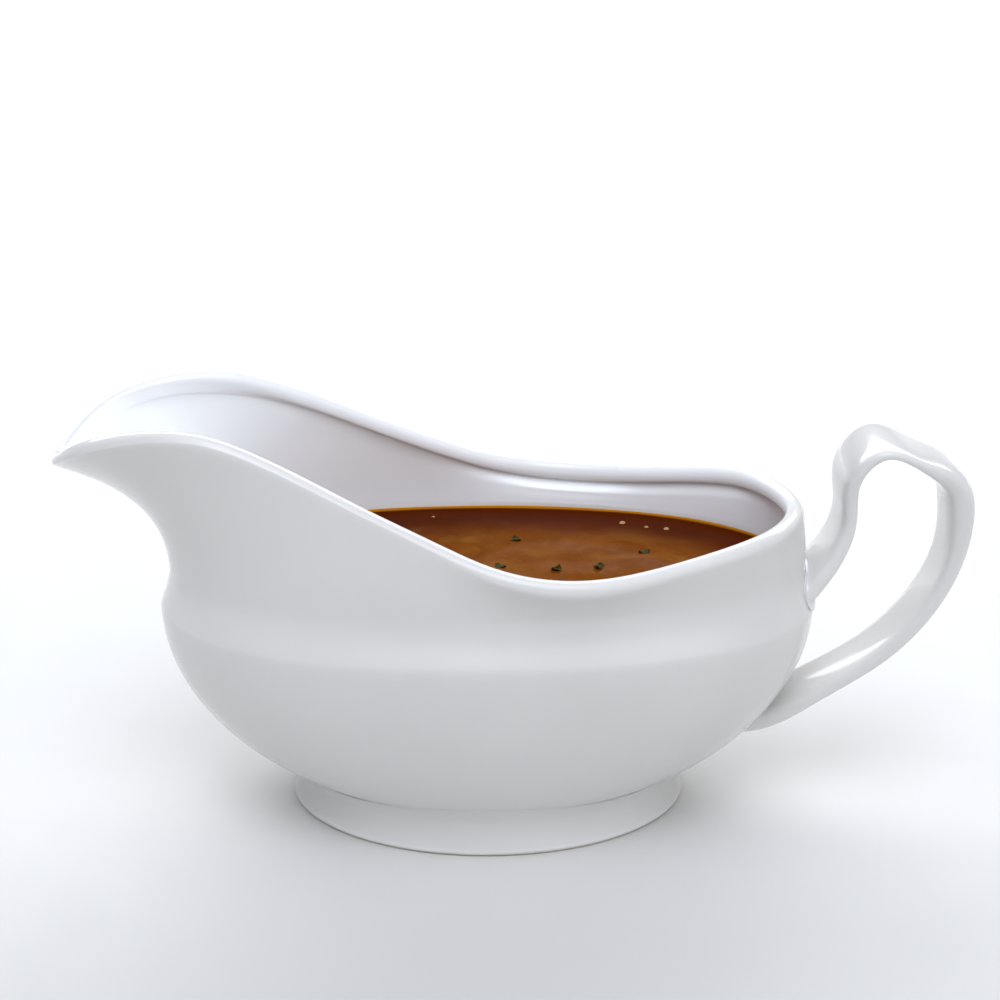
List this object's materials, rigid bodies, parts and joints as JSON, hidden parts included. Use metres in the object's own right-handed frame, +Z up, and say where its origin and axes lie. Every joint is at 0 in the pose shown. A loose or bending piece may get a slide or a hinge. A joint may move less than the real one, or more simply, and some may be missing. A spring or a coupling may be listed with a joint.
{
  "type": "gravy boat",
  "caption": "White glazed gravy boat: oval footed bowl with a rising spout, rolled lip and high strap handle, part filled with gravy.",
  "frame": {"origin": "centre of the flat oval face that the foot ring rests on", "axes": "+X along the boat towards the handle, with the spout at -X; +Y across the boat; +Z up"},
  "size_m": [0.2202, 0.0874, 0.1029],
  "materials": {
    "porcelain": "gloss",
    "gravy": "gloss",
    "herb": "satin",
    "fat": "gloss"
  },
  "bodies": {
    "root": {"bowl": "porcelain", "foot_ring": "porcelain", "handle": "porcelain", "upper_slip_joint": "porcelain", "lower_slip_joint": "porcelain", "gravy": "gravy", "herb_flecks": "herb", "fat_beads": "fat"}
  },
  "joints": []
}
